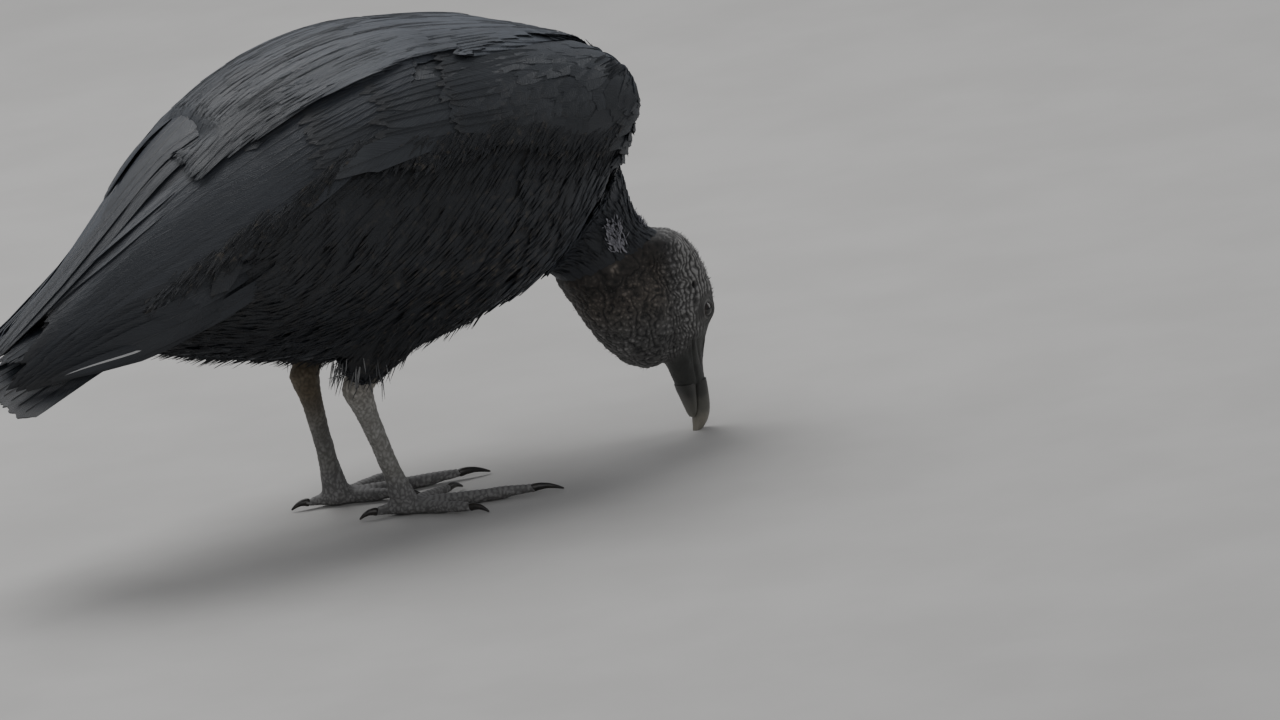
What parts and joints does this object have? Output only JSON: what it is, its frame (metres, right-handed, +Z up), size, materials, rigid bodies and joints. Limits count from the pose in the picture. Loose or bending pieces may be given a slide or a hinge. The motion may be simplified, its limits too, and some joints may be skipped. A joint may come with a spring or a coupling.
{
  "type": "black vulture",
  "caption": "Life-size standing black vulture with folded wings, bent forward to feed, its bare head pointing straight down and the bill's tip resting on the floor.",
  "frame": {"origin": "bottom centre of the bird's box, on the floor it stands on", "axes": "+X ahead of the bird, along its body from tail to breast; +Y to its left; +Z up"},
  "size_m": [0.4688, 0.1898, 0.2773],
  "materials": {
    "body_feathers": "soft matte black contour feathers with a faint slate sheen",
    "flight_feathers": "smooth slate black vanes with a satin sheen",
    "head_skin": "dry wrinkled bare skin, dark grey to brown",
    "bill_horn": "dull horn, dark at the root and pale at the tip",
    "eye": "wet dark brown",
    "leg_scales": "dry scaled skin whitened with droppings, dark slate on the toes",
    "claw_horn": "dull black horn"
  },
  "bodies": {
    "root": {"head": "head_skin", "eye_left": "eye", "eye_right": "eye", "bill_upper": "bill_horn", "bill_lower": "bill_horn", "neck_upper": "head_skin", "neck_lower": "body_feathers", "trunk": "body_feathers", "tail": "flight_feathers", "wing_left_coverts": "flight_feathers", "wing_left_secondaries": "flight_feathers", "wing_left_primaries": "flight_feathers", "wing_left_tertials": "flight_feathers", "thigh_left": "body_feathers", "shank_left": "leg_scales", "foot_left": "leg_scales", "claw_left_inner": "claw_horn", "claw_left_middle": "claw_horn", "claw_left_outer": "claw_horn", "claw_left_hind": "claw_horn", "wing_right_coverts": "flight_feathers", "wing_right_secondaries": "flight_feathers", "wing_right_primaries": "flight_feathers", "wing_right_tertials": "flight_feathers", "thigh_right": "body_feathers", "shank_right": "leg_scales", "foot_right": "leg_scales", "claw_right_inner": "claw_horn", "claw_right_middle": "claw_horn", "claw_right_outer": "claw_horn", "claw_right_hind": "claw_horn"}
  },
  "joints": []
}
